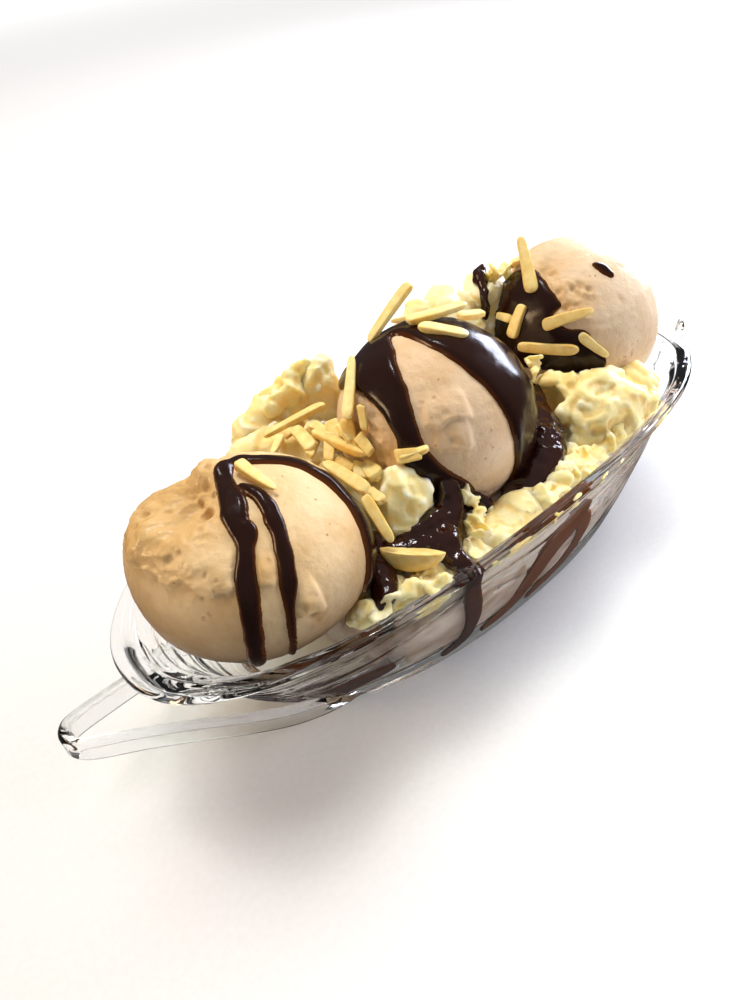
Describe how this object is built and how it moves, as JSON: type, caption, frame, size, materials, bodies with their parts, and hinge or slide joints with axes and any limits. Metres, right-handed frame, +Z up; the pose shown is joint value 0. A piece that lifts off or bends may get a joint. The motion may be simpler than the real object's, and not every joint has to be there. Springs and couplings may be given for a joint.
{
  "type": "banana split",
  "caption": "Banana split with a row of ice cream scoops, banana halves, cream, chocolate sauce and slivered almonds in a clear glass boat with loop handles.",
  "frame": {"origin": "middle of the dish's foot, on the table", "axes": "+X along the dish from the near handle to the far handle, +Y from the near wall to the far wall, +Z up"},
  "size_m": [0.2792, 0.0998, 0.0926],
  "materials": {
    "glass": "clear pressed glass",
    "ice_cream": "pale coffee and vanilla ice cream, slightly wet, with ragged tears",
    "banana": "peeled banana, smooth and matt",
    "softened_cream": "softened ice cream and cream run through with sauce",
    "cream": "torn whipped cream and vanilla ice cream, pale yellow",
    "chocolate_sauce": "dark chocolate sauce, wet gloss",
    "almond": "blanched slivered almond, smooth and waxy"
  },
  "bodies": {
    "root": {"glass_dish": "glass", "scoop_near": "ice_cream", "scoop_middle": "ice_cream", "scoop_far": "ice_cream", "banana_half_near": "banana", "banana_half_far": "banana", "cream_bed": "softened_cream", "cream_back_left": "cream", "cream_back_right": "cream", "cream_front_middle": "cream", "cream_front_right": "cream", "cream_by_rim_1": "cream", "cream_by_rim_2": "cream", "cream_by_rim_3": "cream", "sauce_pool_front": "chocolate_sauce", "sauce_pool_right": "chocolate_sauce", "almond_01": "almond", "almond_02": "almond", "almond_03": "almond", "almond_04": "almond", "almond_05": "almond", "almond_06": "almond", "almond_07": "almond", "almond_08": "almond", "almond_09": "almond", "almond_10": "almond", "almond_11": "almond", "almond_12": "almond", "almond_13": "almond", "almond_14": "almond", "almond_15": "almond", "almond_16": "almond", "almond_17": "almond", "almond_18": "almond", "almond_19": "almond", "almond_20": "almond", "almond_21": "almond", "almond_22": "almond", "almond_half": "almond"}
  },
  "joints": []
}
